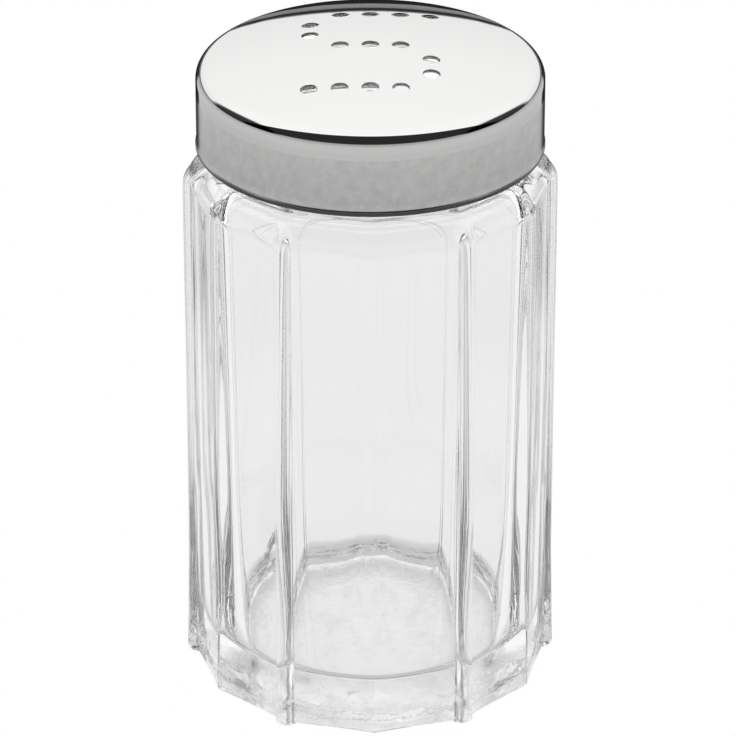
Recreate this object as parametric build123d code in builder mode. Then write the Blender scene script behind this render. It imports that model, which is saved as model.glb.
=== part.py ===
from build123d import *
import math
import os

# Salt shaker: a pressed glass bottle with a screw-on stainless steel cap.
# Millimetres. +Z is up, the origin is the centre of the foot on the table, and the front is -Y.

# Glass bottle, outside
corner_radius = 22.2  # from the axis to a plain corner
side_count = 12
flute_sag = 0.15  # how far each side is hollowed below the straight line between its corners
foot_corner_radius = 0.6  # how round the plain corners are at the table
body_corner_radius = 3.0  # and above the flare, where they are softer
rib_count = 6  # a rib on every second corner
rib_height = 0.45  # how far a rib stands out past a plain corner
rib_width = 2.4
rib_edge_radius = 0.7
rib_bend_radius = 3.6  # of the curve that leads a rib's top end in to the shoulder
rib_bend_depth = 3.8  # below the ledge, where that curve starts
rib_arch_depth = 1.2  # below the ledge, where a rib's arched top ends
flare_height = 14.0  # how far up from the table the ribs flare
flare_depth = 0.35  # how much further out the ribs stand at the table
foot_edge = 0.35
shoulder_height = 68.1  # the ledge that the neck stands on
shoulder_radius = 2.7
shoulder_steps = 5  # outlines that its curve is drawn through
glass_turn = 1.5  # degrees from -Y to the nearest plain corner when the thread is tight

# Glass bottle, inside
wall = 3.0  # behind the middle of a side, at the top of the cavity
cavity_draw = 0.5  # how much the cavity's radius shrinks from there down to the floor
floor_thickness = 5.0
floor_fillet = 2.0
cavity_end_depth = 4.1  # below the ledge, where the wall starts to draw in to the neck
throat_rise = 0.5  # above the ledge, where it has reached the neck's bore
throat_fillet = 3.0
foot_ring = 4.3  # from the middle of a side in to the hollow under the foot
kick_depth = 0.8
kick_slope = 45.0

# Neck
ledge_width = 0.8  # from the end of the shoulder's curve, on a side, in to the neck
neck_wall = 2.5
neck_height = 8.4  # above the ledge
neck_root_radius = 0.6
lip_radius = 0.6

# Screw thread, which stands on the neck and in the insert: the sizes that it needs room for
thread_height = 0.8
thread_clearance = 0.25

# Washer between the lip of the neck and the insert
washer_thickness = 0.7
washer_width = 1.8

# Plastic insert
insert_wall = 1.47
insert_clearance = 0.02
flange_thickness = 1.0
insert_chamfer = 0.4

# Steel cap
cap_gap = 1.2  # from the ledge of the glass up to the hem of the cap
edge_rise = 1.42  # from the insert's top up to where the crown's curve would meet the skirt
crown_radius = 79.0
cap_corner_radius = 1.9
cap_wall = 0.5
hem_height = 0.8
hem_proud = 0.12  # how far the rolled hem stands out from the skirt
hem_tuck = 0.55  # how far it turns in under the insert
hem_edge_radius = 0.3
hole_diameter = 2.0
hole_margin = 2.31  # from the middle of a corner hole of the pattern to the neck's bore
hole_rows = (" ####", "#    ", "#    ", " ### ", "    #", "    #", "#### ")

# Worked out from the sizes above
side_angle = 360 / side_count
front = -90 + glass_turn
side_share = math.cos(math.radians(side_angle / 2))  # of a corner's radius, at the middle of a side
flute_radius = corner_radius * side_share - flute_sag
rib_radius = corner_radius + rib_height
rib_seat = flute_radius - wall / 2
rib_arch_middle = shoulder_height - rib_arch_depth - rib_width / 2
rib_bend_start = shoulder_height - rib_bend_depth
foot_radius = rib_radius + flare_depth
shoulder_start = shoulder_height - shoulder_radius
cavity_radius = flute_radius - wall
floor_radius = cavity_radius - cavity_draw
cavity_height = shoulder_height - cavity_end_depth
throat_height = shoulder_height + throat_rise
kick_radius = flute_radius - foot_ring
neck_radius = (corner_radius - shoulder_radius) * side_share - flute_sag - ledge_width
neck_bore_radius = neck_radius - neck_wall
lip_top = shoulder_height + neck_height
washer_top = lip_top + washer_thickness
washer_radius = neck_radius - lip_radius / 2
insert_top = washer_top + flange_thickness
insert_bore_radius = neck_radius + thread_height + thread_clearance
insert_radius = insert_bore_radius + insert_wall
shell_radius = insert_radius + insert_clearance
cap_radius = shell_radius + cap_wall
hem_bottom = shoulder_height + cap_gap
insert_bottom = hem_bottom + hem_height
crown_edge = insert_top + edge_rise
cap_top = crown_edge + crown_radius - math.sqrt(crown_radius**2 - cap_radius**2)
middle_row = (len(hole_rows) - 1) / 2
middle_column = (len(hole_rows[0]) - 1) / 2
hole_pitch = (neck_bore_radius - hole_margin) / math.hypot(middle_row, middle_column)
same = 0.001  # places this close together are one place


def polar(radius, angle):
    """A point at this radius and at this angle in degrees from +X."""
    return (radius * math.cos(math.radians(angle)), radius * math.sin(math.radians(angle)))


def full_circles(builder):
    """The closed edges of a turned form, from the lowest to the highest."""
    return builder.edges().filter_by(lambda edge: edge.is_closed).sort_by(Axis.Z)


def side_outline(height, reach, rounding):
    """The twelve hollowed sides at one height, with rounded corners, at this reach from the axis."""
    with BuildSketch(Plane.XY.offset(height)) as outline:
        with BuildLine():
            for side in range(side_count):
                start = front + side * side_angle
                ThreePointArc(
                    polar(reach, start),
                    polar(reach * side_share - flute_sag, start + side_angle / 2),
                    polar(reach, start + side_angle),
                )
        make_face()
        fillet(outline.vertices(), rounding)
    return outline.sketch


def shoulder_outline(step):
    """The outline at one of the steps of the shoulder's curve, from its start up to the ledge."""
    turn = math.radians(90 * step / (shoulder_steps - 1))
    height = shoulder_start + shoulder_radius * math.sin(turn)
    reach = corner_radius - shoulder_radius * (1 - math.cos(turn))
    return side_outline(height, reach, body_corner_radius)


def hole_places():
    """The centres of the pouring holes, read from the rows of the pattern."""
    return [
        ((column - middle_column) * hole_pitch, (middle_row - row) * hole_pitch)
        for row, marks in enumerate(hole_rows)
        for column, mark in enumerate(marks)
        if mark == "#"
    ]


# One rib, standing out along +X: a bar with an arched top that bends in to the shoulder
with BuildPart() as rib:
    with BuildSketch(Plane.YZ.offset(rib_seat)):
        Rectangle(rib_width, rib_arch_middle, align=(Align.CENTER, Align.MIN))
        with Locations((0, rib_arch_middle)):
            Circle(rib_width / 2)
    extrude(amount=foot_radius - rib_seat)
    with BuildSketch(Plane.XZ):
        with BuildLine():
            outer = Polyline((foot_radius, 0), (rib_radius, flare_height), (rib_radius, rib_bend_start))
            bend = CenterArc((rib_radius - rib_bend_radius, rib_bend_start), rib_bend_radius, 0, 90)
            Polyline(bend @ 1, (0, rib_bend_start + rib_bend_radius), (0, 0), outer @ 0)
        make_face()
    extrude(amount=rib_width, both=True, mode=Mode.INTERSECT)
    outer_edges = rib.edges().filter_by(Axis.X, reverse=True).filter_by(Axis.Y, reverse=True)
    fillet(outer_edges.filter_by(lambda edge: edge.center().X > rib_seat + same), rib_edge_radius)

# Glass bottle
with BuildPart() as glass_body:
    foot = side_outline(0, corner_radius, foot_corner_radius)
    body = side_outline(flare_height, corner_radius, body_corner_radius)
    loft([foot, body], ruled=True)
    extrude(body, amount=shoulder_start - flare_height)
    loft([shoulder_outline(step) for step in range(shoulder_steps)])
    with PolarLocations(0, rib_count, start_angle=front + side_angle):
        add(rib.part)
    chamfer(glass_body.edges().group_by(Axis.Z)[0], foot_edge)
    # Neck
    with BuildSketch(Plane.XY.offset(shoulder_height)):
        Circle(neck_radius)
    extrude(amount=neck_height)
    fillet(full_circles(glass_body)[0], neck_root_radius)
    fillet(full_circles(glass_body)[-1], lip_radius)
    # Cavity and throat
    with BuildSketch(Plane.XZ) as cavity:
        with BuildLine():
            Polyline(
                (0, floor_thickness),
                (floor_radius, floor_thickness),
                (cavity_radius, cavity_height),
                (neck_bore_radius, throat_height),
                (neck_bore_radius, lip_top),
                (0, lip_top),
                close=True,
            )
        make_face()
        fillet(cavity.vertices().group_by(Axis.Y)[0].sort_by(Axis.X)[-1], floor_fillet)
        fillet(cavity.vertices().sort_by(Axis.X)[-1], throat_fillet)
        fillet(cavity.vertices().filter_by(lambda v: abs(v.Y - throat_height) < same), throat_fillet)
    revolve(axis=Axis.Z, mode=Mode.SUBTRACT)
    fillet(full_circles(glass_body).group_by(Axis.Z)[-1].sort_by(SortBy.LENGTH)[0], lip_radius)
    # Hollow under the foot
    with BuildSketch(Plane.XY):
        Circle(kick_radius)
    extrude(amount=kick_depth, taper=kick_slope, mode=Mode.SUBTRACT)
glass_body.part.label = "glass_body"

# Washer on the lip
with BuildPart() as neck_washer:
    with BuildSketch(Plane.XY.offset(lip_top)):
        Circle(washer_radius)
        Circle(washer_radius - washer_width, mode=Mode.SUBTRACT)
    extrude(amount=washer_thickness)
neck_washer.part.label = "neck_washer"

# Plastic insert: a threaded collar with a flange that presses on the washer
with BuildPart() as cap_insert:
    with BuildSketch(Plane.XY.offset(insert_bottom)):
        Circle(insert_radius)
    extrude(amount=insert_top - insert_bottom)
    chamfer(cap_insert.edges().group_by(Axis.Z)[-1], insert_chamfer)
    with BuildSketch(Plane.XY.offset(insert_bottom)):
        Circle(insert_bore_radius)
    extrude(amount=washer_top - insert_bottom, mode=Mode.SUBTRACT)
    with BuildSketch(Plane.XY.offset(washer_top)):
        Circle(neck_bore_radius)
    extrude(amount=flange_thickness, mode=Mode.SUBTRACT)
    chamfer(cap_insert.edges().group_by(Axis.Z)[0].sort_by(SortBy.LENGTH)[0], insert_chamfer)
cap_insert.part.label = "cap_insert"

# Steel cap: a crowned shell, its rolled hem and the pouring holes
with BuildPart() as cap_shell:
    with BuildSketch(Plane.XZ):
        with BuildLine() as profile:
            RadiusArc((0, cap_top), (cap_radius, crown_edge), crown_radius)
            Line((cap_radius, crown_edge), (cap_radius, hem_bottom))
            fillet(profile.vertices().group_by(Axis.X)[-1].sort_by(Axis.Y)[-1], cap_corner_radius)
            offset(amount=cap_wall, side=Side.RIGHT)
        make_face()
    revolve(axis=Axis.Z)
    with BuildSketch(Plane.XZ) as hem:
        with Locations((shell_radius - hem_tuck, hem_bottom)):
            Rectangle(hem_tuck + cap_wall + hem_proud, hem_height, align=(Align.MIN, Align.MIN))
        fillet(hem.vertices(), hem_edge_radius)
    revolve(axis=Axis.Z)
    # The holes are cut from the top of the insert up to a wall's thickness above the crown
    with BuildSketch(Plane.XY.offset(insert_top)):
        with Locations(*hole_places()):
            Circle(hole_diameter / 2)
    extrude(amount=cap_top + cap_wall - insert_top, mode=Mode.SUBTRACT)
cap_shell.part.label = "cap_shell"

os.makedirs("parts", exist_ok=True)
export_step(glass_body.part, "parts/glass_body.step")
export_step(neck_washer.part, "parts/neck_washer.step")
export_step(cap_insert.part, "parts/cap_insert.step")
export_step(cap_shell.part, "parts/cap_shell.step")
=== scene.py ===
"""A salt shaker, dressed for its studio picture: a pressed glass bottle under a screw-on steel cap.

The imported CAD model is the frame. Sizes are millimetres in the frame's own axes: +Z up, the centre of the
foot at the origin and -Y towards the camera. A finished mesh is scaled to metres.
"""

import logging
import math
from dataclasses import dataclass
from typing import Callable, Mapping, Sequence

import bmesh
import bpy
from mathutils import Matrix, Vector


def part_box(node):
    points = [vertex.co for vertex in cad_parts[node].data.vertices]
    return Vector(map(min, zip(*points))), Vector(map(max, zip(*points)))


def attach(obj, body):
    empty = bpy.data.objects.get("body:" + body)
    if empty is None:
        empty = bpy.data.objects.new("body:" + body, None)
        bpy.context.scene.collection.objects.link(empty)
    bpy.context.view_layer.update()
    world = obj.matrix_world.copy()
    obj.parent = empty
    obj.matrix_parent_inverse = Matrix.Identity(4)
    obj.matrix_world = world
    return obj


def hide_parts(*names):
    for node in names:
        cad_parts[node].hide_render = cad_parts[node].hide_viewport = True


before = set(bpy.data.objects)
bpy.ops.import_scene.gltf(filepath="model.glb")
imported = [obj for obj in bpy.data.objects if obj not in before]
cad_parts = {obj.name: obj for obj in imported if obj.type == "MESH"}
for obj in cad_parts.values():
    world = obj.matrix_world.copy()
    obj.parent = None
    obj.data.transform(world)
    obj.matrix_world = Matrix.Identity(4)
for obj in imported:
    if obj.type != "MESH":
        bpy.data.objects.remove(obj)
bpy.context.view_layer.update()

MM = 0.001  # metres in a millimetre
LIP_INSET = 0.3  # mm that the washer stays inside the outside of the neck
THREAD_ROOM = 1.05  # mm between the neck and the insert, for the thread
log = logging.getLogger("salt_shaker")

Rgba = tuple[float, float, float, float]
Point = tuple[float, float]
Ring = tuple[Callable[[float], float], float]  # a radius for each angle in degrees, and a height


# Helpers for sizes


def cad_box(node: str) -> tuple[Vector, Vector]:
    """The lowest and the highest corner of a CAD node, in millimetres."""
    low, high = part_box(node)
    return low / MM, high / MM


def soft_min(a: float, b: float, reach: float) -> float:
    """The lesser of two lengths, rounded over where they come near each other.

    Args:
        a: one length.
        b: the other length.
        reach: the difference between them below which the rounding starts.

    Returns:
        The rounded lesser length.
    """
    near = max(reach - abs(a - b), 0.0) / reach
    return min(a, b) - near * near * reach / 4


def soft_max(a: float, b: float, reach: float) -> float:
    """The greater of two lengths, rounded over where they come near each other."""
    return -soft_min(-a, -b, reach)


def smooth_step(low: float, high: float, value: float) -> float:
    """0 below low, 1 above high and an S-curve between them.

    Args:
        low: where the rise starts.
        high: where it ends.
        value: the place that is asked for.

    Returns:
        The height of the curve there.
    """
    share = min(max((value - low) / (high - low), 0.0), 1.0)
    return share * share * (3 - 2 * share)


@dataclass(frozen=True)
class Corner:
    """A corner of a turned profile: its place from the axis and up, and how round it is."""

    radius: float
    height: float
    rounding: float = 0.0
    steps: int = 6


def walk(corners: Sequence[Corner], spacing: float) -> list[Point]:
    """The points of a turned profile, with its corners rounded.

    Args:
        corners: the corners in order, of which the first and the last stay sharp.
        spacing: the longest step along a straight.

    Returns:
        The points, each as a radius and a height.
    """
    places = [Vector((c.radius, c.height)) for c in corners]
    runs: list[list[Vector]] = [[places[0]]]
    for before, here, after, corner in zip(places, places[1:], places[2:], corners[1:]):
        back, on = (before - here).normalized(), (after - here).normalized()
        half = math.acos(max(-1.0, min(1.0, back.dot(on)))) / 2
        if corner.rounding <= 0:
            runs.append([here])
            continue
        reach = corner.rounding / math.tan(half)
        centre = here + (back + on).normalized() * corner.rounding / math.sin(half)
        start, end = here + back * reach - centre, here + on * reach - centre
        turn = start.angle_signed(end)
        turns = (-turn * k / corner.steps for k in range(corner.steps + 1))
        runs.append([centre + Matrix.Rotation(each, 2) @ start for each in turns])
    runs.append([places[-1]])
    points: list[Vector] = list(runs[0])
    for run in runs[1:]:
        gap = run[0] - points[-1]
        count = max(1, math.ceil(gap.length / spacing))
        points += [points[-1] + gap * k / count for k in range(1, count)]
        points += run
    return [(p.x, p.y) for p in points]


# Helpers for meshes


def turned(radius: float) -> Callable[[float], float]:
    """A round ring's radius, which is the same at every angle."""
    return lambda angle: radius


def loop_of(bm: bmesh.types.BMesh, segments: int) -> list[bmesh.types.BMEdge]:
    """A round loop of edges of radius 1 about the axis, with nothing inside it.

    Args:
        bm: the mesh that it goes into.
        segments: how many edges it has.

    Returns:
        The edges of the loop.
    """
    made = bmesh.ops.create_circle(bm, cap_ends=False, radius=1.0, segments=segments)
    return list({edge for vert in made["verts"] for edge in vert.link_edges})


def next_loop(bm: bmesh.types.BMesh, edges: Sequence[bmesh.types.BMEdge]) -> list[bmesh.types.BMEdge]:
    """Extrude a loop of edges by nothing, so that its copy can be moved.

    Args:
        bm: the mesh that it belongs to.
        edges: the edges of the loop.

    Returns:
        The edges of the copy.
    """
    made = bmesh.ops.extrude_edge_only(bm, edges=list(edges))
    return [part for part in made["geom"] if isinstance(part, bmesh.types.BMEdge)]


def place_loop(
    edges: Sequence[bmesh.types.BMEdge], radius: Callable[[float], float], height: float
) -> None:
    """Move a loop's points to a height, and out or in to a radius that depends on their angle.

    Args:
        edges: the edges of the loop.
        radius: gives the radius for an angle in degrees from +X.
        height: the new height.
    """
    for vert in {vert for edge in edges for vert in edge.verts}:
        angle = math.atan2(vert.co.y, vert.co.x)
        reach = radius(math.degrees(angle))
        vert.co = (reach * math.cos(angle), reach * math.sin(angle), height)


def close_loop(bm: bmesh.types.BMesh, edges: Sequence[bmesh.types.BMEdge]) -> None:
    """Fill a loop with a fan of triangles, so that the piece is closed there."""
    made = bmesh.ops.edgeloop_fill(bm, edges=list(edges))
    bmesh.ops.poke(bm, faces=made["faces"])


def turn_profile(profile: Sequence[Point], segments: int, closed: bool = True) -> bmesh.types.BMesh:
    """Spin a profile once round the axis.

    Args:
        profile: its points, each as a radius and a height.
        segments: how many steps the turn has.
        closed: whether the last point joins the first.

    Returns:
        The spun mesh, with its faces outwards.
    """
    bm = bmesh.new()
    verts = [bm.verts.new((radius, 0.0, height)) for radius, height in profile]
    pairs = list(zip(verts, verts[1:])) + ([(verts[-1], verts[0])] if closed else [])
    edges = [bm.edges.new(pair) for pair in pairs]
    bmesh.ops.spin(
        bm,
        geom=verts + edges,
        axis=(0, 0, 1),
        cent=(0, 0, 0),
        angle=math.tau,
        steps=segments,
        use_merge=True,
    )
    bmesh.ops.remove_doubles(bm, verts=bm.verts, dist=1e-4)
    bmesh.ops.recalc_face_normals(bm, faces=bm.faces)
    return bm


def finished(
    bm: bmesh.types.BMesh, name: str, material: bpy.types.Material, crease: float = 180.0
) -> bpy.types.Object:
    """Turn a mesh in millimetres into a finished piece in metres.

    Args:
        bm: the mesh, which is freed.
        name: the piece's name.
        material: its finish.
        crease: the angle in degrees past which an edge shows as a sharp one.

    Returns:
        The piece, at the origin.
    """
    bmesh.ops.scale(bm, vec=(MM, MM, MM), verts=bm.verts)
    mesh = bpy.data.meshes.new(name)
    bm.to_mesh(mesh)
    bm.free()
    mesh.materials.append(material)
    mesh.shade_smooth()
    if crease < 180:
        mesh.set_sharp_from_angle(angle=math.radians(crease))
    piece = bpy.data.objects.new(name, mesh)
    bpy.context.scene.collection.objects.link(piece)
    return piece


def report(piece: bpy.types.Object) -> None:
    """Log the size of a finished piece."""
    size = ", ".join(f"{side / MM:.1f}" for side in piece.dimensions)
    log.info("%s: %s mm, %d faces", piece.name, size, len(piece.data.polygons))


# Helpers for materials


def linear(colour: str) -> Rgba:
    """The linear colour of an sRGB hex value.

    Args:
        colour: the value, such as "#C8C8C8".

    Returns:
        Its red, green, blue and an alpha of 1.
    """
    shares = [int(colour[k : k + 2], 16) / 255 for k in (1, 3, 5)]
    red, green, blue = ((s / 12.92) if s <= 0.04045 else ((s + 0.055) / 1.055) ** 2.4 for s in shares)
    return red, green, blue, 1.0


def add_node(
    tree: bpy.types.NodeTree,
    kind: str,
    settings: Mapping[str | int, object] | None = None,
    links: Mapping[str | int, bpy.types.NodeSocket] | None = None,
) -> bpy.types.Node:
    """Add one node to a tree.

    Args:
        tree: the tree that it goes into.
        kind: the node's type, after "ShaderNode".
        settings: values for its properties, or for its inputs by their name or number.
        links: the outputs that feed its inputs, by the input's name or number.

    Returns:
        The new node.
    """
    node = tree.nodes.new(f"ShaderNode{kind}")
    for name, value in (settings or {}).items():
        if isinstance(name, str) and name in node.bl_rna.properties:
            setattr(node, name, value)
        else:
            node.inputs[name].default_value = value
    for name, source in (links or {}).items():
        tree.links.new(source, node.inputs[name])
    return node


def blend(
    tree: bpy.types.NodeTree,
    value: bpy.types.NodeSocket,
    places: Point,
    levels: Point,
    smooth: bool = False,
) -> bpy.types.NodeSocket:
    """A number that goes from one level to another while a value goes from one place to another.

    Args:
        tree: the tree that it goes into.
        value: the value that it follows.
        places: where it leaves its first level, and where it reaches its second.
        levels: the two levels.
        smooth: whether it goes there by an S-curve and not in a straight line.

    Returns:
        The number.
    """
    settings: dict[str | int, object] = {
        "From Min": places[0],
        "From Max": places[1],
        "To Min": levels[0],
        "To Max": levels[1],
    }
    if smooth:
        settings["interpolation_type"] = "SMOOTHSTEP"
    return add_node(tree, "MapRange", settings, {"Value": value}).outputs["Result"]


def combine(
    tree: bpy.types.NodeTree, operation: str, *values: bpy.types.NodeSocket | float
) -> bpy.types.NodeSocket:
    """Work out one number from others.

    Args:
        tree: the tree that it goes into.
        operation: what is done with them, such as "MULTIPLY".
        values: the numbers, each from a node or the same everywhere.

    Returns:
        The result.
    """
    settings: dict[str | int, object] = {"operation": operation}
    links: dict[str | int, bpy.types.NodeSocket] = {}
    for number, value in enumerate(values):
        target = links if isinstance(value, bpy.types.NodeSocket) else settings
        target[number] = value
    return add_node(tree, "Math", settings, links).outputs[0]


def noise(
    tree: bpy.types.NodeTree,
    place: bpy.types.NodeSocket,
    size: float,
    detail: float = 2.0,
    roughness: float = 0.5,
) -> bpy.types.NodeSocket:
    """Cloudy noise from 0 to 1.

    Args:
        tree: the tree that it goes into.
        place: where each point of the surface lies, in metres.
        size: millimetres from one blotch to the next.
        detail: how many finer layers lie over the first.
        roughness: how strong those layers are.

    Returns:
        The noise.
    """
    settings = {"Scale": 1 / (size * MM), "Detail": detail, "Roughness": roughness}
    return add_node(tree, "TexNoise", settings, {"Vector": place}).outputs["Fac"]


def relief(tree: bpy.types.NodeTree, height: bpy.types.NodeSocket, depth: float) -> bpy.types.NodeSocket:
    """A surface that stands up by a depth in millimetres where a height from 0 to 1 is 1."""
    settings = {"Strength": 1.0, "Distance": depth * MM}
    return add_node(tree, "Bump", settings, {"Height": height}).outputs["Normal"]


def new_material(name: str) -> tuple[bpy.types.Material, bpy.types.NodeTree]:
    """A material with nothing in it yet.

    Args:
        name: what the finish is called.

    Returns:
        The material and its node tree.
    """
    material = bpy.data.materials.new(name)
    material.use_nodes = True
    material.node_tree.nodes.clear()
    return material, material.node_tree


def show_surface(
    tree: bpy.types.NodeTree,
    shader: bpy.types.NodeSocket,
    inside: bpy.types.NodeSocket | None = None,
) -> None:
    """Lead a shader to the material's output.

    Args:
        tree: the material's nodes.
        shader: what the surface does to light.
        inside: what the solid behind the surface does to light, where it does anything.
    """
    links = {"Surface": shader}
    if inside is not None:
        links["Volume"] = inside
    add_node(tree, "OutputMaterial", links=links)


# Finishes


@dataclass(frozen=True)
class PressedGlass:
    """Soda-lime glass, pressed in a mould and fire-polished: clear, with a slight ripple in its skin."""

    colour: str = "#F7F7F7"
    ior: float = 1.52
    ripple_size: float = 7.0  # mm from crest to crest
    ripple_depth: float = 0.004  # mm
    ripple_stretch: float = 0.35  # the ripples are longer up and down, by one over this
    chill_size: float = 1.7  # mm, the closer ripple of the foot's outside
    chill_depth: float = 0.2  # mm
    chill_low: float = 4.5  # mm up to which it is whole
    chill_high: float = 6.0  # mm where it is gone
    scuff_roughness: float = 0.3  # where the underside is most scuffed
    scuff_least: float = 0.04
    scuff_spread: Point = (0.35, 0.65)  # of the noise, from the clearest to the most scuffed place
    scuff_size: float = 3.4  # mm between scuffed and clear patches
    scuff_stretch: float = 0.6  # the patches are longer from front to back, by one over this
    scuff_place: tuple[float, float, float] = (0.7, 0.3, 0.9)  # moves the patches off the axis, in metres
    under_low: float = 0.85  # mm, the top of the hollow under the foot
    under_high: float = 1.15
    under_reach: float = 20.2  # mm from the origin, where the foot's edge starts
    lip_roughness: float = 0.4
    lip_low: float = 75.5  # mm, where the lip's ground face starts to fade in
    lip_high: float = 76.0
    clearness: float = 0.5  # 1 less this, times the density, is the absorption: 2.5 per metre
    density: float = 5.0  # per metre

    def material(self) -> bpy.types.Material:
        """Build the finish.

        Returns:
            The material.
        """
        material, tree = new_material("pressed_glass")
        place = add_node(tree, "TexCoord").outputs["Object"]
        level = add_node(tree, "SeparateXYZ", links={"Vector": place}).outputs["Z"]
        reach = add_node(tree, "VectorMath", {"operation": "LENGTH"}, {0: place}).outputs["Value"]
        # The mould's iron leaves long low ripples, which bend what is seen through the sides a little
        along = add_node(tree, "Mapping", {"Scale": (1.0, 1.0, self.ripple_stretch)}, {"Vector": place})
        ripple = noise(tree, along.outputs["Vector"], self.ripple_size, 1.0, 0.4)
        # The underside is stippled by the mould and scuffed by tables, in patches that scatter the light
        moved = add_node(
            tree,
            "Mapping",
            {"Location": self.scuff_place, "Scale": (1.0, self.scuff_stretch, 1.0)},
            {"Vector": place},
        )
        scuffs = noise(tree, moved.outputs["Vector"], self.scuff_size, 3.0)
        patches = blend(tree, scuffs, self.scuff_spread, (self.scuff_least, self.scuff_roughness))
        low = blend(tree, level, (self.under_low * MM, self.under_high * MM), (1.0, 0.0))
        within = combine(tree, "LESS_THAN", reach, self.under_reach * MM)
        under = combine(tree, "MULTIPLY", low, within)
        beneath = combine(tree, "MULTIPLY", under, patches)
        # The thick foot cools last and shrinks from the mould, which leaves its outside lumpy and breaks
        # up its glints
        chill = noise(tree, place, self.chill_size)
        near_foot = blend(
            tree, level, (self.chill_low * MM, self.chill_high * MM), (1.0, 0.0), smooth=True
        )
        outside = add_node(
            tree, "Math", {"operation": "SUBTRACT", "use_clamp": True}, {0: near_foot, 1: under}
        ).outputs[0]
        bump = add_node(
            tree,
            "Bump",
            {"Distance": self.chill_depth * MM},
            {"Strength": outside, "Height": chill, "Normal": relief(tree, ripple, self.ripple_depth)},
        )
        # The lip is ground flat for the washer
        lip = blend(tree, level, (self.lip_low * MM, self.lip_high * MM), (0.0, self.lip_roughness))
        glass = add_node(
            tree,
            "BsdfPrincipled",
            {"Base Color": linear(self.colour), "IOR": self.ior, "Transmission Weight": 1.0},
            {"Roughness": combine(tree, "MAXIMUM", beneath, lip), "Normal": bump.outputs["Normal"]},
        )
        # A long way through plain table glass takes a little light of every colour
        grey = (self.clearness, self.clearness, self.clearness, 1.0)
        inside = add_node(tree, "VolumeAbsorption", {"Color": grey, "Density": self.density})
        show_surface(tree, glass.outputs["BSDF"], inside.outputs["Volume"])
        return material


@dataclass(frozen=True)
class DrawnSteel:
    """Stainless steel sheet, drawn and polished, with a satin band that a belt left round the skirt."""

    colour: str = "#DEDEDD"
    polished_roughness: float = 0.035
    satin_roughness: float = 0.24
    satin_low: float = 69.6  # mm, the lower edge of the satin band
    satin_high: float = 76.6
    band_edge: float = 0.3  # mm over which the finish changes
    grain_size: float = 0.16  # mm; real grit is finer, and is drawn coarser so that it shows
    grain_depth: float = 0.0035  # mm
    cloud_size: float = 4.0  # mm between glossier and duller places
    cloud_drift: float = 0.012  # in roughness, either way
    mottle_size: float = 1.3  # mm
    mottle_spread: Point = (0.3, 0.7)  # of the noise, from the darkest to the lightest place
    mottle_tones: Point = (0.88, 1.06)  # of the colour
    hem_tone: float = 0.87  # of the colour, at the band's lower edge, where the painted shade is darkest
    hem_low: float = 69.82  # mm, under which the rolled hem is at its darkest
    hem_high: float = 70.12
    hem_shade: float = 0.12  # of the colour, the painted shade of the hem
    edge_facing: Point = (0.8, 0.88)  # of Layer Weight's facing, over which the reflection falls
    edge_tone: float = 0.1  # of the colour, where the sheet is seen edge on: a painted dark reflection

    def material(self) -> bpy.types.Material:
        """Build the finish.

        Returns:
            The material.
        """
        material, tree = new_material("stainless_steel")
        place = add_node(tree, "TexCoord").outputs["Object"]
        height = add_node(tree, "SeparateXYZ", links={"Vector": place}).outputs["Z"]
        # The belt's band lies between two heights
        edges = [
            blend(
                tree,
                height,
                ((level - self.band_edge / 2) * MM, (level + self.band_edge / 2) * MM),
                (start, 1.0 - start),
                smooth=True,
            )
            for level, start in ((self.satin_low, 0.0), (self.satin_high, 1.0))
        ]
        band = combine(tree, "MULTIPLY", *edges)
        # Polishing is uneven, so the gloss drifts a little from place to place
        cloud = noise(tree, place, self.cloud_size, 3.0)
        drift = blend(tree, cloud, (0.0, 1.0), (-self.cloud_drift, self.cloud_drift))
        base = blend(tree, band, (0.0, 1.0), (self.polished_roughness, self.satin_roughness))
        # The belt's fine grain is only in the band
        grain = combine(tree, "MULTIPLY", noise(tree, place, self.grain_size), band)
        # The band is painted darker towards the hem as painted shade, and the belt bites deeper in patches
        fall = blend(tree, height, (self.satin_low * MM, self.satin_high * MM), (self.hem_tone, 1.0))
        patches = noise(tree, place, self.mottle_size, 6.0, 0.7)
        mottle = blend(tree, patches, self.mottle_spread, self.mottle_tones)
        mottled_and_shaded = combine(tree, "MULTIPLY", fall, mottle)
        satin_tone = add_node(tree, "Mix", {2: 1.0}, {0: band, 3: mottled_and_shaded}).outputs[0]
        # The hem rolls under, and its lower half is painted dark: painted shade, for the dark gap over the
        # glass that it mirrors
        rolled = blend(
            tree, height, (self.hem_low * MM, self.hem_high * MM), (self.hem_shade, 1.0), smooth=True
        )
        body_tone = combine(tree, "MULTIPLY", satin_tone, rolled)
        # The colour is painted darker where the sheet is seen edge on, a painted dark reflection that real
        # steel doesn't show: it is there for the look of the thin dark lines at the ends of the skirt, and
        # it moves with the view
        facing = add_node(tree, "LayerWeight").outputs["Facing"]
        painted_edge_dark = blend(tree, facing, self.edge_facing, (1.0, self.edge_tone), smooth=True)
        tone = combine(tree, "MULTIPLY", body_tone, painted_edge_dark)
        black = (0.0, 0.0, 0.0, 1.0)
        colour = add_node(tree, "Mix", {"data_type": "RGBA", 6: black, 7: linear(self.colour)}, {0: tone})
        steel = add_node(
            tree,
            "BsdfPrincipled",
            {"Metallic": 1.0},
            {
                "Base Color": colour.outputs[2],
                "Roughness": combine(tree, "ADD", base, drift),
                "Normal": relief(tree, grain, self.grain_depth),
            },
        )
        show_surface(tree, steel.outputs["BSDF"])
        return material


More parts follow.
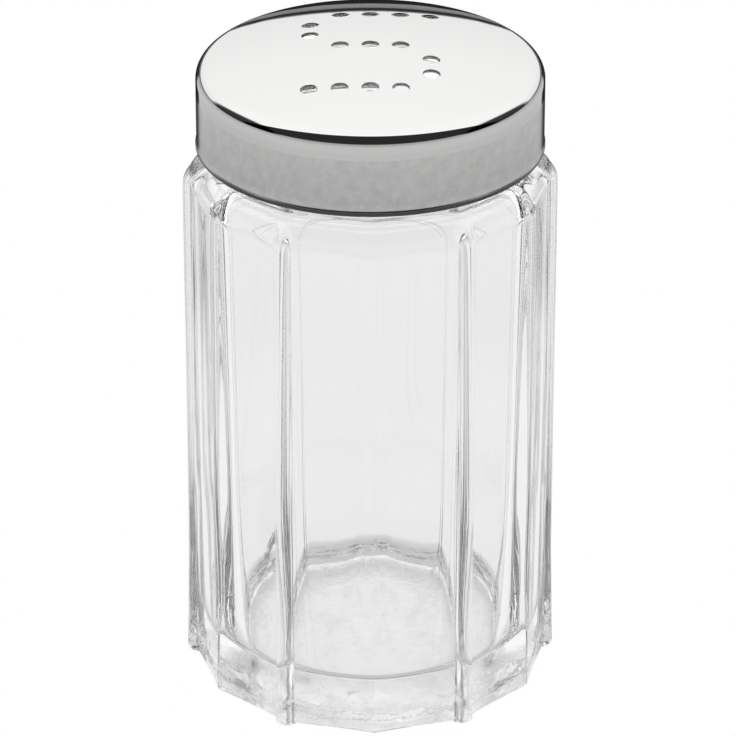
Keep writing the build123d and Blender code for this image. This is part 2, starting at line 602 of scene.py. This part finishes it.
@dataclass(frozen=True)
class RawSteel:
    """The same sheet inside the cap and in its punched holes, dull grey, where no polish reached it."""

    colour: str = "#B6B6B5"
    dull_tone: float = 0.85  # of the colour, in the dullest streaks
    roughness: float = 0.6
    streak_size: float = 0.5  # mm between the die's draw marks, drawn coarser so that they show
    streak_depth: float = 0.002  # mm
    streak_stretch: float = 0.15  # the marks are longer up and down, by one over this

    def material(self) -> bpy.types.Material:
        """Build the finish.

        Returns:
            The material.
        """
        material, tree = new_material("drawn_steel_inside")
        place = add_node(tree, "TexCoord").outputs["Object"]
        # The die drags along the wall, so the marks run up and down
        along = add_node(tree, "Mapping", {"Scale": (1.0, 1.0, self.streak_stretch)}, {"Vector": place})
        streaks = noise(tree, along.outputs["Vector"], self.streak_size)
        clean = linear(self.colour)
        dull = (*(self.dull_tone * part for part in clean[:3]), 1.0)
        tone = add_node(tree, "Mix", {"data_type": "RGBA", 6: clean, 7: dull}, {0: streaks})
        steel = add_node(
            tree,
            "BsdfPrincipled",
            {"Metallic": 1.0, "Roughness": self.roughness},
            {"Base Color": tone.outputs[2], "Normal": relief(tree, streaks, self.streak_depth)},
        )
        show_surface(tree, steel.outputs["BSDF"])
        return material


@dataclass(frozen=True)
class MouldedPlastic:
    """Polypropylene or silicone, moulded: milky, with a faint texture from the mould."""

    name: str
    colour: str
    roughness: float
    ior: float
    thin_tone: float = 0.94  # of the colour, where it lets the most light through
    cloud_size: float = 25 / 3  # mm between thick and thin places
    texture_size: float = 0.25  # mm
    texture_depth: float = 0.006  # mm

    def material(self) -> bpy.types.Material:
        """Build the finish.

        Returns:
            The material.
        """
        material, tree = new_material(self.name)
        place = add_node(tree, "TexCoord").outputs["Object"]
        texture = noise(tree, place, self.texture_size, 3.0)
        # Thick and thin places let a little more or less light through
        thick = linear(self.colour)
        thin = (*(self.thin_tone * part for part in thick[:3]), 1.0)
        clouds = noise(tree, place, self.cloud_size)
        tone = add_node(tree, "Mix", {"data_type": "RGBA", 6: thick, 7: thin}, {0: clouds})
        plastic = add_node(
            tree,
            "BsdfPrincipled",
            {"Roughness": self.roughness, "IOR": self.ior},
            {"Base Color": tone.outputs[2], "Normal": relief(tree, texture, self.texture_depth)},
        )
        show_surface(tree, plastic.outputs["BSDF"])
        return material


# Pieces


@dataclass(frozen=True)
class Thread:
    """A right-handed screw thread with rounded flanks."""

    low: float  # mm, where its ridge starts
    pitch: float = 3.2
    turns: float = 1.75
    height: float = 0.75
    root_width: float = 1.5
    crest_width: float = 0.5
    run_out: float = 35.0  # degrees over which it rises from nothing
    start: float = 60.0  # degrees from +X where it starts

    def ridge(self, angle: float, height: float) -> float:
        """How far the ridge stands out.

        Args:
            angle: degrees from +X.
            height: millimetres up.

        Returns:
            Its height there, in millimetres.
        """
        share = ((angle - self.start) % 360) / 360
        best = 0.0
        for turn in range(math.ceil(self.turns) + 1):
            along = share + turn
            if along > self.turns:
                break
            off = abs(height - self.low - self.pitch * along)
            rise = 1 - smooth_step(self.crest_width / 2, self.root_width / 2, off)
            fade = smooth_step(0, self.run_out / 360, along) * smooth_step(
                0, self.run_out / 360, self.turns - along
            )
            best = max(best, rise * fade)
        return best * self.height


@dataclass
class GlassBottle:
    """The pressed glass bottle: twelve shallow sides, six ribs, a heavy foot and a threaded neck."""

    glass: PressedGlass
    lip_top: float
    foot_reach: float  # from the axis to a rib at the table
    neck_radius: float
    neck_wall: float = 2.5
    neck_height: float = 8.4
    neck_root: float = 0.6
    lip_rounding: float = 0.6
    side_count: int = 12
    first_corner: float = -88.5  # degrees from +X to the plain corner nearest the camera
    corner_radius: float = 22.2
    corner_softness: float = 0.7
    foot_softness: float = 0.16  # the corners are crisper at the foot
    foot_height: float = 9.0
    flute_sag: float = 0.15
    rib_count: int = 6
    rib_height: float = 0.45
    rib_half_width: float = 1.3
    rib_depth: float = 1.3  # the ribs are half ellipses, sunk in the sides
    rib_root: float = 0.14
    rib_bend_depth: float = 3.8  # below the ledge, where a rib starts to bend in
    rib_bend_radius: float = 3.6
    flare_height: float = 14.0
    foot_edge: float = 0.6
    shoulder_radius: float = 2.7
    floor_height: float = 5.0
    floor_radius: float = 16.8
    cavity_radius: float = 18.6
    cavity_softness: float = 1.2  # how round the cavity's own twelve corners are
    follow_low: float = 6.0  # the cavity is round up to here
    follow_high: float = 30.0  # and follows the twelve sides from here to its neck
    cavity_height: float = 64.0
    throat_height: float = 68.6
    kick_radius: float = 17.0
    kick_depth: float = 0.8
    corner_step: float = 0.55  # degrees between the points at a plain corner
    side_step: float = 1.5
    least_step: float = 0.05
    rib_steps: int = 32  # across a rib
    root_steps: int = 8  # from the rib's foot out to the plain side
    root_spread: float = 0.4  # of the rib's half width, how far out they reach
    thread_rise: float = 1.5  # from the ledge up to the start of the thread

    @property
    def side_angle(self) -> float:
        """Degrees between two corners."""
        return 360 / self.side_count

    @property
    def rib_radius(self) -> float:
        """From the axis to a rib's flat, above the flare."""
        return self.corner_radius + self.rib_height

    @property
    def shoulder_height(self) -> float:
        """The height of the ledge that the neck stands on."""
        return self.lip_top - self.neck_height

    @property
    def bore_radius(self) -> float:
        """The radius of the neck's bore."""
        return self.neck_radius - self.neck_wall

    def angles(self) -> list[float]:
        """The angles of the points round the bottle, close together on the ribs and at the corners.

        Returns:
            The angles, in degrees from +X.
        """
        half_rib = math.degrees(math.asin(self.rib_half_width / self.rib_radius))
        turns = [180 * k / self.rib_steps - 90 for k in range(self.rib_steps + 1)]
        steps = [half_rib * math.sin(math.radians(turn)) for turn in turns]
        root = [
            half_rib * (1 + self.root_spread * (k / self.root_steps) ** 1.5)
            for k in range(1, self.root_steps + 1)
        ]
        steps += root
        at = steps[-1]
        end = 2 * self.side_angle - at
        while at < end - self.side_step:
            near_corner = abs(at - self.side_angle) < 8 * self.corner_step
            at += self.corner_step if near_corner else self.side_step
            steps.append(at)
        mirrored = [2 * self.side_angle - turn for turn in reversed(root)]
        steps += [turn for turn in mirrored if turn > at + self.least_step]
        rib = self.first_corner + self.side_angle
        return [rib + k * 2 * self.side_angle + step for k in range(self.rib_count) for step in steps]

    def side(self, angle: float, height: float, inset: float) -> float:
        """The radius of the twelve sides, without the ribs.

        Args:
            angle: degrees from +X.
            height: millimetres above the table.
            inset: how far the corners are set in, in millimetres.

        Returns:
            The radius there, in millimetres.
        """
        crisp = 1 - smooth_step(1.5, self.foot_height, height)
        softness = self.corner_softness + crisp * (self.foot_softness - self.corner_softness)
        return self.twelve_sides(angle, inset, softness)

    def twelve_sides(self, angle: float, inset: float, softness: float) -> float:
        """The radius of twelve hollowed sides.

        Args:
            angle: degrees from +X.
            inset: how far the corners are set in, in millimetres.
            softness: how round the corners are.

        Returns:
            The radius there, in millimetres.
        """
        half = self.side_angle / 2
        middle = (self.corner_radius - inset) * math.cos(math.radians(half))
        off = abs((angle - self.first_corner) % self.side_angle - half)
        sides = [
            (middle - self.flute_sag * (1 - (turn / half) ** 2)) / math.cos(math.radians(turn))
            for turn in (off, self.side_angle - off)
        ]
        return soft_min(*sides, softness)

    def outline(self, angle: float, height: float, inset: float = 0.0) -> float:
        """The radius of the body's outline, with the ribs.

        Args:
            angle: degrees from +X.
            height: millimetres above the table.
            inset: how far the corners are set in, in millimetres.

        Returns:
            The radius there, in millimetres.
        """
        side = self.side(angle, height, inset)
        period = 360 / self.rib_count
        rib = self.first_corner + self.side_angle
        turn = math.radians((angle - rib + period / 2) % period - period / 2)
        flare = max(0.0, 1 - height / self.flare_height)
        tip = self.rib_radius + (self.foot_reach - self.rib_radius) * flare
        across = abs(tip * math.sin(turn)) / self.rib_half_width
        rise = max(0.0, height - self.shoulder_height + self.rib_bend_depth)
        if across >= 1 or rise >= self.rib_bend_radius:
            return side
        bend = self.rib_bend_radius - math.sqrt(self.rib_bend_radius**2 - rise**2)
        bar = tip - bend - self.rib_depth * (1 - math.sqrt(1 - across**2))
        return soft_max(side, bar / math.cos(turn), self.rib_root)

    def body_rings(self) -> list[Ring]:
        """The rings of the outside, from the foot's edge to the end of the shoulder.

        Returns:
            The rings, from the table up.
        """
        rings: list[Ring] = []

        def ring(height: float, inset: float = 0.0, trim: float = 0.0) -> None:
            """Add one ring, with its corners set in, and with its whole outline trimmed."""
            rings.append((lambda angle: self.outline(angle, height, inset) - trim, height))

        edge_steps = 6
        for k in range(edge_steps + 1):
            turn = math.radians(90 * k / edge_steps)
            ring(self.foot_edge * (1 - math.cos(turn)), trim=self.foot_edge * (1 - math.sin(turn)))
        for height in (1.2, 2.4, 4.0, 6.0, 9.0, self.flare_height, 20.0, 30.0, 40.0, 50.0, 58.0, 62.0):
            ring(height)
        bend = self.shoulder_height - self.rib_bend_depth
        start = self.shoulder_height - self.shoulder_radius
        bend_steps, shoulder_steps = 8, 30
        for k in range(bend_steps):
            ring(bend + (start - bend) * k / bend_steps)
        for k in range(shoulder_steps + 1):
            turn = math.radians(90 * k / shoulder_steps)
            ring(start + self.shoulder_radius * math.sin(turn), self.shoulder_radius * (1 - math.cos(turn)))
        return rings

    def neck_rings(self, thread: Thread) -> list[Ring]:
        """The rings of the ledge, and of the neck with its thread up to the lip.

        Args:
            thread: the neck's thread.

        Returns:
            The rings, from the ledge up.
        """
        profile = walk(
            [
                Corner(self.neck_radius + self.neck_root + 0.15, self.shoulder_height),
                Corner(self.neck_radius, self.shoulder_height, self.neck_root, 5),
                Corner(self.neck_radius, self.lip_top, self.lip_rounding, 6),
                Corner((self.neck_radius + self.bore_radius) / 2, self.lip_top),
            ],
            0.22,
        )

        def threaded(radius: float, height: float) -> Callable[[float], float]:
            """The neck's radius at one height, with the thread standing on it."""
            return lambda angle: radius + thread.ridge(angle, height)

        rings: list[Ring] = []
        for radius, height in profile:
            carries = abs(radius - self.neck_radius) < 0.01
            rings.append((threaded(radius, height) if carries else turned(radius), height))
        return rings

    def hollow(self, radius: float, height: float) -> Callable[[float], float]:
        """A ring of the cavity: round at its floor and its neck, with twelve soft sides between them.

        Args:
            radius: its mean radius, in millimetres.
            height: millimetres above the table.

        Returns:
            The radius for each angle.
        """
        rise = smooth_step(self.follow_low, self.follow_high, height)
        fall = smooth_step(self.cavity_height - 1, self.throat_height - 0.5, height)
        share = rise * (1 - fall)
        corner, middle = (
            self.twelve_sides(self.first_corner + turn, 0.0, self.cavity_softness)
            for turn in (0.0, self.side_angle / 2)
        )
        mean = (corner + middle) / 2
        return lambda angle: radius + share * (self.twelve_sides(angle, 0.0, self.cavity_softness) - mean)

    def inside_rings(self) -> list[Ring]:
        """The rings of the lip's inner half, the throat, the cavity and its floor.

        Returns:
            The rings, from the lip down.
        """
        profile = walk(
            [
                Corner((self.neck_radius + self.bore_radius) / 2, self.lip_top),
                Corner(self.bore_radius, self.lip_top, self.lip_rounding, 6),
                Corner(self.bore_radius, self.throat_height, 3.0, 8),
                Corner(self.cavity_radius, self.cavity_height, 3.0, 8),
                Corner(self.floor_radius, self.floor_height, 2.0, 8),
                Corner(0.4, self.floor_height),
            ],
            3.5,
        )
        return [(self.hollow(radius, height), height) for radius, height in profile[1:]]

    def under_rings(self) -> list[Ring]:
        """The rings of the hollow under the foot, and of the flat that it stands on.

        Returns:
            The rings, from the axis out.
        """
        side_middle = self.corner_radius * math.cos(math.radians(self.side_angle / 2))
        profile = walk(
            [
                Corner(0.4, self.kick_depth),
                Corner(self.kick_radius - self.kick_depth, self.kick_depth, 0.5, 4),
                Corner(self.kick_radius, 0.0, 0.5, 4),
                Corner(side_middle - 1.2, 0.0),
            ],
            6.0,
        )
        return [(turned(radius), height) for radius, height in profile]

    def build(self) -> bpy.types.Object:
        """Build the bottle as one closed skin, from the hollow under its foot to the floor inside.

        Returns:
            The finished piece.
        """
        angles = self.angles()
        bm = bmesh.new()
        loop = loop_of(bm, len(angles))
        verts = sorted(
            {vert for edge in loop for vert in edge.verts},
            key=lambda vert: math.atan2(vert.co.y, vert.co.x) % math.tau,
        )
        for vert, angle in zip(verts, sorted(angle % 360 for angle in angles)):
            turn = math.radians(angle)
            vert.co = (math.cos(turn), math.sin(turn), 0.0)
        start = loop
        thread = Thread(self.shoulder_height + self.thread_rise)
        rings = [*self.under_rings(), *self.body_rings(), *self.neck_rings(thread), *self.inside_rings()]
        place_loop(loop, *rings[0])
        for radius, height in rings[1:]:
            loop = next_loop(bm, loop)
            place_loop(loop, radius, height)
        close_loop(bm, start)
        close_loop(bm, loop)
        bmesh.ops.recalc_face_normals(bm, faces=bm.faces)
        bottle = finished(bm, "glass_bottle", self.glass.material())
        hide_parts("glass_body")
        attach(bottle, "bottle")
        return bottle


@dataclass
class SteelCap:
    """The steel cap: a crowned and pierced shell with a rolled hem."""

    steel: DrawnSteel
    raw: RawSteel
    top: float
    hem_bottom: float
    hem_reach: float
    bore_radius: float  # of the neck, which the pattern of holes stays inside
    hole_margin: float = 2.31
    hem_proud: float = 0.12
    hem_height: float = 0.8
    hem_tuck: float = 0.55
    wall: float = 0.5
    crown_radius: float = 79.0
    corner_radius: float = 1.9
    hole_radius: float = 1.0
    rim_break: float = 0.12  # how far the punched rims are rounded
    hole_rows: tuple[str, ...] = (" ####", "#    ", "#    ", " ### ", "    #", "    #", "#### ")
    hole_steps: int = 48
    raw_slope: float = 0.4  # faces that look up less than this are raw, apart from the skirt's outside
    segments: int = 240
    crease: float = 28.0  # degrees past which an edge of the pierced shell shows as a sharp one

    @property
    def radius(self) -> float:
        """From the axis to the outside of the skirt."""
        return self.hem_reach - self.hem_proud

    def crown_height(self, radius: float) -> float:
        """The height of the crown's outside at this distance from the axis."""
        return self.top - self.crown_radius + math.sqrt(self.crown_radius**2 - radius**2)

    def profile(self) -> list[Point]:
        """The closed profile of the shell with its hem.

        Returns:
            The points, each as a radius and a height.
        """
        steps = 26
        edge = self.radius
        outside = [Corner(0.0, self.top)]
        inside = []
        for k in range(1, steps + 1):
            reach = (edge - 3.0) * k / steps
            outside.append(Corner(reach, self.crown_height(reach)))
            inside.append(Corner(reach, self.crown_height(reach) - self.wall))
        outside.append(Corner(edge, self.crown_height(edge), self.corner_radius, 14))
        hem_top = self.hem_bottom + self.hem_height
        inner = edge - self.wall
        outside += [
            Corner(edge, hem_top, 0.12, 2),
            Corner(self.hem_reach, hem_top - 0.15, 0.12, 3),
            Corner(self.hem_reach, self.hem_bottom, 0.48, 8),
            Corner(inner - self.hem_tuck, self.hem_bottom, 0.3, 5),
            Corner(inner - self.hem_tuck, hem_top, 0.3, 5),
            Corner(inner, hem_top, 0.1, 2),
            Corner(inner, self.crown_height(edge) - self.wall, self.corner_radius - self.wall, 8),
        ]
        ends = [*outside, *reversed(inside), Corner(0.0, self.top - self.wall)]
        return walk(ends, 0.9)

    def hole_places(self) -> list[Point]:
        """The centres of the pouring holes.

        Returns:
            Their places, in millimetres from the axis to the right and back.
        """
        middle_row = (len(self.hole_rows) - 1) / 2
        middle_column = (len(self.hole_rows[0]) - 1) / 2
        pitch = (self.bore_radius - self.hole_margin) / math.hypot(middle_row, middle_column)
        return [
            ((column - middle_column) * pitch, (middle_row - row) * pitch)
            for row, marks in enumerate(self.hole_rows)
            for column, mark in enumerate(marks)
            if mark == "#"
        ]

    def punches(self) -> bpy.types.Object:
        """The punches that pierce the crown, each square to it, with shoulders that round the rims.

        Returns:
            One piece that holds them all.
        """
        flare, far = self.rim_break, 1.5
        outline = [
            (0.0, far),
            (self.hole_radius + flare + far, far),
            (self.hole_radius + flare, 0.0),
            (self.hole_radius + 0.3 * flare, -0.5 * flare),
            (self.hole_radius, -1.3 * flare),
            (self.hole_radius, -self.wall + 0.8 * flare),
            (self.hole_radius + 0.5 * flare, -self.wall),
            (self.hole_radius + 0.5 * flare + far, -self.wall - far),
            (0.0, -self.wall - far),
        ]
        bm = bmesh.new()
        for x, y in self.hole_places():
            one = turn_profile(outline, self.hole_steps, closed=False)
            foot = Vector((x, y, self.crown_height(math.hypot(x, y))))
            square = foot - Vector((0, 0, self.top - self.crown_radius))
            turn = Vector((0, 0, 1)).rotation_difference(square).to_matrix().to_4x4()
            bmesh.ops.transform(one, matrix=Matrix.Translation(foot) @ turn, verts=one.verts)
            mesh = bpy.data.meshes.new("punch")
            one.to_mesh(mesh)
            one.free()
            bm.from_mesh(mesh)
            bpy.data.meshes.remove(mesh)
        return finished(bm, "punches", bpy.data.materials.new("punch"))

    def build(self) -> bpy.types.Object:
        """Build the shell, pierce it and dress it.

        Returns:
            The finished piece.
        """
        steel = self.steel.material()
        cap = finished(turn_profile(self.profile(), self.segments), "steel_cap", steel)
        punches = self.punches()
        cut = cap.modifiers.new("pierce", "BOOLEAN")
        cut.operation, cut.solver, cut.object = "DIFFERENCE", "EXACT", punches
        shown = cap.evaluated_get(bpy.context.evaluated_depsgraph_get())
        pierced = bpy.data.meshes.new_from_object(shown)
        cap.modifiers.clear()
        cap.data = pierced
        pierced.name = "steel_cap"
        pierced.materials.clear()
        pierced.materials.append(steel)
        pierced.materials.append(self.raw.material())
        for face in pierced.polygons:
            reach = face.center.xy.length / MM
            polished = face.normal.z > self.raw_slope or reach > self.radius - self.wall * 0.8
            face.material_index = 0 if polished else 1
        pierced.shade_smooth()
        pierced.set_sharp_from_angle(angle=math.radians(self.crease))
        bpy.data.objects.remove(punches)
        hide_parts("cap_shell")
        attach(cap, "cap")
        return cap


@dataclass
class ScrewInsert:
    """The plastic collar inside the cap: its thread grips the neck, and its flange presses the washer."""

    plastic: MouldedPlastic
    low: Vector
    high: Vector
    bore_radius: float
    hole_radius: float
    flange_thickness: float = 1.0

    def build(self) -> bpy.types.Object:
        """Build the collar with its thread inside.

        Returns:
            The finished piece.
        """
        outer = self.high.x
        ceiling = self.high.z - self.flange_thickness
        thread = Thread(self.low.z + 0.75, height=0.7, turns=1.5, root_width=1.3, crest_width=0.4)
        corners = [
            Corner(self.bore_radius, self.low.z + 0.3),
            Corner(self.bore_radius, ceiling, 0.25, 3),
            Corner(self.hole_radius, ceiling, 0.15, 3),
            Corner(self.hole_radius, self.high.z, 0.25, 3),
            Corner(outer - 0.4, self.high.z, 0.15, 2),
            Corner(outer, self.high.z - 0.4, 0.15, 2),
            Corner(outer, self.low.z, 0.2, 3),
            Corner(self.bore_radius + 0.3, self.low.z, 0.15, 2),
            Corner(self.bore_radius, self.low.z + 0.3),
        ]
        profile = walk(corners, 0.25)[:-1]
        bm = bmesh.new()
        loop = first = loop_of(bm, 360)
        for number, (radius, height) in enumerate(profile):
            if number:
                loop = next_loop(bm, loop)
            inner = abs(radius - self.bore_radius) < 0.01

            def reach(angle: float, radius: float = radius, height: float = height) -> float:
                """The collar's radius here, with the thread taken from its bore."""
                return radius - (thread.ridge(angle, height) if inner else 0.0)

            place_loop(loop, reach, height)
        bmesh.ops.bridge_loops(bm, edges=[*first, *loop])
        bmesh.ops.recalc_face_normals(bm, faces=bm.faces)
        collar = finished(bm, "screw_insert", self.plastic.material(), 40)
        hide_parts("cap_insert")
        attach(collar, "cap")
        return collar


@dataclass
class LipWasher:
    """The soft ring that seals the insert on the lip of the neck."""

    rubber: MouldedPlastic
    low: Vector
    high: Vector
    width: float = 1.8

    def build(self) -> bpy.types.Object:
        """Build the ring.

        Returns:
            The finished piece.
        """
        inner, outer = self.high.x - self.width, self.high.x
        middle = (self.low.z + self.high.z) / 2
        corners = [
            Corner(inner, middle),
            Corner(inner, self.low.z, 0.2, 4),
            Corner(outer, self.low.z, 0.2, 4),
            Corner(outer, self.high.z, 0.2, 4),
            Corner(inner, self.high.z, 0.2, 4),
            Corner(inner, middle),
        ]
        turned_ring = turn_profile(walk(corners, 1.0)[:-1], 180)
        ring = finished(turned_ring, "lip_washer", self.rubber.material(), 40)
        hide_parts("neck_washer")
        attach(ring, "washer")
        return ring


# Studio


@dataclass(frozen=True)
class Studio:
    """A pale lit table, soft light from behind and above it, and the camera.

    A level is how bright the studio is in one direction or at one place. Each list goes from its first
    place to its last, and the levels run straight between them.
    """

    camera_place: tuple[float, float, float] = (-0.28, -565.4, 325.1)
    camera_pitch: float = 26.83  # degrees down from level
    lens: float = 252.1
    sensor: float = 36.0
    table_reach: float = 4000.0
    table_drop: float = 0.05  # mm under the foot, so that glass and table never share a place
    # Degrees up from the back of the table, over the top to the camera's side
    sky: tuple[Point, ...] = (
        (0.0, 0.3),
        (2.2, 0.25),
        (2.8, 0.03),
        (4.8, 0.03),
        (5.6, 1.02),
        (27.0, 1.17),
        (60.0, 1.26),
        (104.0, 1.26),
        (110.0, 1.5),
        (115.0, 0.03),
        (171.0, 0.03),
        (178.0, 0.6),
        (180.0, 0.6),
    )
    # The sine of how far to the side a direction points, for reflections and for what is seen through glass
    sky_sides: tuple[Point, ...] = ((0.0, 1.0), (0.84, 1.0), (0.9, 0.05), (1.0, 0.03))
    sky_sides_through: tuple[Point, ...] = ((0.0, 1.0), (0.8, 1.0), (0.95, 0.85), (1.0, 0.5))
    # Metres to the side, and metres from the axis, for the table seen through glass
    table_sides: tuple[Point, ...] = ((0.0, 1.0), (0.15, 1.0), (0.3, 0.85), (0.6, 0.6))
    # A painted shadow on the table under the foot, seen only through the glass
    shade: tuple[Point, ...] = ((0.0, 0.97), (0.012, 0.94), (0.017, 0.62), (0.022, 0.55), (0.026, 1.0))
    # Metres from the axis, for the table in reflections
    table_glints: tuple[Point, ...] = (
        (0.0, 0.85),
        (0.1, 0.85),
        (0.12, 0.4),
        (0.14, 0.48),
        (0.2, 0.7),
        (0.9, 0.5),
    )
    # The share of half a turn from straight behind, for the dark that starts a way behind the shaker
    table_bearings: tuple[Point, ...] = ((0.0, 0.05), (0.165, 0.05), (0.185, 1.0), (1.0, 1.0))
    dark_start: Point = (0.11, 0.13)  # metres from the axis
    fill: float = 10.0  # times the light, for the matte plastic deep in the cap

    @staticmethod
    def ramp(
        tree: bpy.types.NodeTree, value: bpy.types.NodeSocket, stops: Sequence[Point]
    ) -> bpy.types.NodeSocket:
        """A grey level that follows a value through a few stops.

        Args:
            tree: the tree that it goes into.
            value: what it follows, from 0 to 1.
            stops: the places and their levels.

        Returns:
            The grey level.
        """
        node = add_node(tree, "ValToRGB", links={"Fac": value})
        while len(node.color_ramp.elements) < len(stops):
            node.color_ramp.elements.new(0.5)
        for stop, (at, level) in zip(node.color_ramp.elements, stops):
            stop.position, stop.color = at, (level, level, level, 1.0)
        return node.outputs["Color"]

    @staticmethod
    def choose(
        tree: bpy.types.NodeTree,
        share: bpy.types.NodeSocket,
        first: bpy.types.NodeSocket,
        second: bpy.types.NodeSocket | None = None,
    ) -> bpy.types.NodeSocket:
        """Go from one colour to a second.

        Args:
            tree: the tree that it goes into.
            share: 0 for the first colour and 1 for the second.
            first: the first colour.
            second: the second colour, or nothing for white.

        Returns:
            The colour between them.
        """
        node = add_node(tree, "Mix", {"data_type": "RGBA", 7: (1.0, 1.0, 1.0, 1.0)}, {0: share, 6: first})
        if second is not None:
            tree.links.new(second, node.inputs[7])
        return node.outputs[2]

    @staticmethod
    def dim(
        tree: bpy.types.NodeTree, light: bpy.types.NodeSocket, by: bpy.types.NodeSocket
    ) -> bpy.types.NodeSocket:
        """Multiply one grey level by another.

        Args:
            tree: the tree that it goes into.
            light: the first level.
            by: the second level.

        Returns:
            Their product.
        """
        settings = {"data_type": "RGBA", "blend_type": "MULTIPLY", 0: 1.0}
        return add_node(tree, "Mix", settings, {6: light, 7: by}).outputs[2]

    def strength(self, tree: bpy.types.NodeTree, path: bpy.types.NodeOutputs) -> bpy.types.NodeSocket:
        """The light's strength: more for matte surfaces, which sit deep inside the cap.

        Args:
            tree: the tree that it goes into.
            path: the outputs of its light path node.

        Returns:
            The strength.
        """
        return blend(tree, path["Diffuse Depth"], (0.0, 1.0), (1.0, self.fill))

    def build_table(self) -> None:
        """Build the table: white to the camera, darker at places in reflections, and with a painted shadow
        under the foot through glass.
        """
        bm = bmesh.new()
        bmesh.ops.create_grid(bm, x_segments=2, y_segments=2, size=self.table_reach)
        bmesh.ops.translate(bm, vec=(0, 0, -self.table_drop), verts=bm.verts)
        material, tree = new_material("lit_table")
        place = add_node(tree, "TexCoord").outputs["Object"]
        reach = add_node(tree, "VectorMath", {"operation": "LENGTH"}, {0: place}).outputs["Value"]
        parts = add_node(tree, "SeparateXYZ", links={"Vector": place}).outputs
        aside = combine(tree, "ABSOLUTE", parts["X"])
        bearing = blend(tree, combine(tree, "ARCTAN2", aside, parts["Y"]), (0.0, math.pi), (0.0, 1.0))
        near = blend(tree, reach, self.dark_start, (1.0, 0.0))
        sector = combine(tree, "MAXIMUM", self.ramp(tree, bearing, self.table_bearings), near)
        mirrored = self.dim(tree, self.ramp(tree, reach, self.table_glints), sector)
        seen_through = self.dim(
            tree, self.ramp(tree, aside, self.table_sides), self.ramp(tree, reach, self.shade)
        )
        path = add_node(tree, "LightPath").outputs
        lit = self.choose(tree, path["Is Transmission Ray"], mirrored, seen_through)
        level = self.choose(tree, path["Is Camera Ray"], lit)
        glow = add_node(tree, "Emission", links={"Color": level, "Strength": self.strength(tree, path)})
        show_surface(tree, glow.outputs["Emission"])
        finished(bm, "table", material)

    def light(self) -> None:
        """Light the studio by the direction that light comes from."""
        world = bpy.data.worlds.new("studio")
        bpy.context.scene.world = world
        world.use_nodes = True
        tree = world.node_tree
        tree.nodes.clear()
        toward = add_node(tree, "TexCoord").outputs["Generated"]
        parts = add_node(tree, "SeparateXYZ", links={"Vector": toward}).outputs
        lift = combine(tree, "ARCTAN2", parts["Z"], parts["Y"])
        share = blend(tree, lift, (0.0, math.pi), (0.0, 1.0))
        sky = self.ramp(tree, share, [(degrees / 180, level) for degrees, level in self.sky])
        aside = combine(tree, "ABSOLUTE", parts["X"])
        path = add_node(tree, "LightPath").outputs
        sides = [self.ramp(tree, aside, stops) for stops in (self.sky_sides, self.sky_sides_through)]
        lit = self.dim(tree, sky, self.choose(tree, path["Is Transmission Ray"], *sides))
        level = self.choose(tree, path["Is Camera Ray"], lit)
        glow = add_node(tree, "Background", links={"Color": level, "Strength": self.strength(tree, path)})
        add_node(tree, "OutputWorld", links={"Surface": glow.outputs["Background"]})

    def place_camera(self) -> None:
        """Stand the camera where the photograph's was."""
        data = bpy.data.cameras.new("camera")
        data.lens, data.sensor_width = self.lens, self.sensor
        camera = bpy.data.objects.new("camera", data)
        camera.location = Vector(self.camera_place) * MM
        camera.rotation_euler = (math.radians(90 - self.camera_pitch), 0.0, 0.0)
        bpy.context.scene.collection.objects.link(camera)
        bpy.context.scene.camera = camera

    def set_view(self) -> None:
        """Show plain sRGB tones, and let light pass through all the walls of the glass."""
        scene = bpy.context.scene
        scene.view_settings.view_transform = "Standard"
        scene.view_settings.look = "None"
        scene.cycles.max_bounces = 32
        scene.cycles.transmission_bounces = 32
        scene.cycles.glossy_bounces = 12
        scene.cycles.diffuse_bounces = 8
        scene.cycles.transparent_max_bounces = 16

    def build(self) -> None:
        """Build the table, the light and the camera."""
        self.build_table()
        self.light()
        self.place_camera()
        self.set_view()


def main() -> None:
    """Build the shaker's pieces in order, then the studio."""
    logging.basicConfig(level=logging.INFO, format="%(name)s %(message)s")
    glass_high = cad_box("glass_body")[1]
    shell_low, shell_high = cad_box("cap_shell")
    insert_box = cad_box("cap_insert")
    washer_box = cad_box("neck_washer")
    neck_radius = washer_box[1].x + LIP_INSET
    bottle = GlassBottle(PressedGlass(), glass_high.z, glass_high.x, neck_radius)
    bore = bottle.bore_radius
    polypropylene = MouldedPlastic("moulded_polypropylene", "#F4F4F1", 0.42, 1.49)
    silicone = MouldedPlastic("moulded_silicone", "#DADAD6", 0.6, 1.43)
    pieces = [
        bottle.build(),
        SteelCap(DrawnSteel(), RawSteel(), shell_high.z, shell_low.z, shell_high.x, bore).build(),
        ScrewInsert(polypropylene, *insert_box, neck_radius + THREAD_ROOM, bore).build(),
        LipWasher(silicone, *washer_box).build(),
    ]
    for piece in pieces:
        report(piece)
    Studio().build()


if __name__ == "__main__":
    main()
